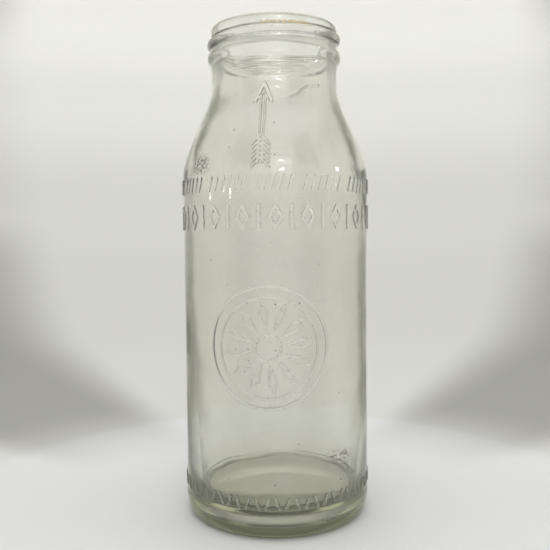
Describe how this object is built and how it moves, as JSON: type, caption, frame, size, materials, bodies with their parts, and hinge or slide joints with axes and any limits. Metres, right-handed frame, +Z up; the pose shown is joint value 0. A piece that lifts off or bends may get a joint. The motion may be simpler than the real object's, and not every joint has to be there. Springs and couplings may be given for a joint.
{
  "type": "wide-mouth screw-neck glass bottle",
  "caption": "Tall round clear glass quart bottle with sloping shoulder, wide threaded neck, beaded collar, raised fill arrow, ornament bands and a recessed base.",
  "frame": {"origin": "centre of the bearing ring, on the surface the bottle stands on", "axes": "+Z up the bottle's axis towards the mouth, -Y towards the front with the fill arrow and medallion, +X to the front's right"},
  "size_m": [0.095, 0.0948, 0.2463],
  "materials": {
    "glass": "clear soda-lime glass with a faint grey-green tint, slightly hazed and dusty from age, fine seed and scuffs",
    "glass_thick": "the same glass where it is thick: olive green-grey, worn at the bearing ring"
  },
  "bodies": {
    "root": {"glass_base": "glass_thick", "glass_body_wall": "glass", "glass_shoulder": "glass", "glass_neck_finish": "glass"}
  },
  "joints": []
}
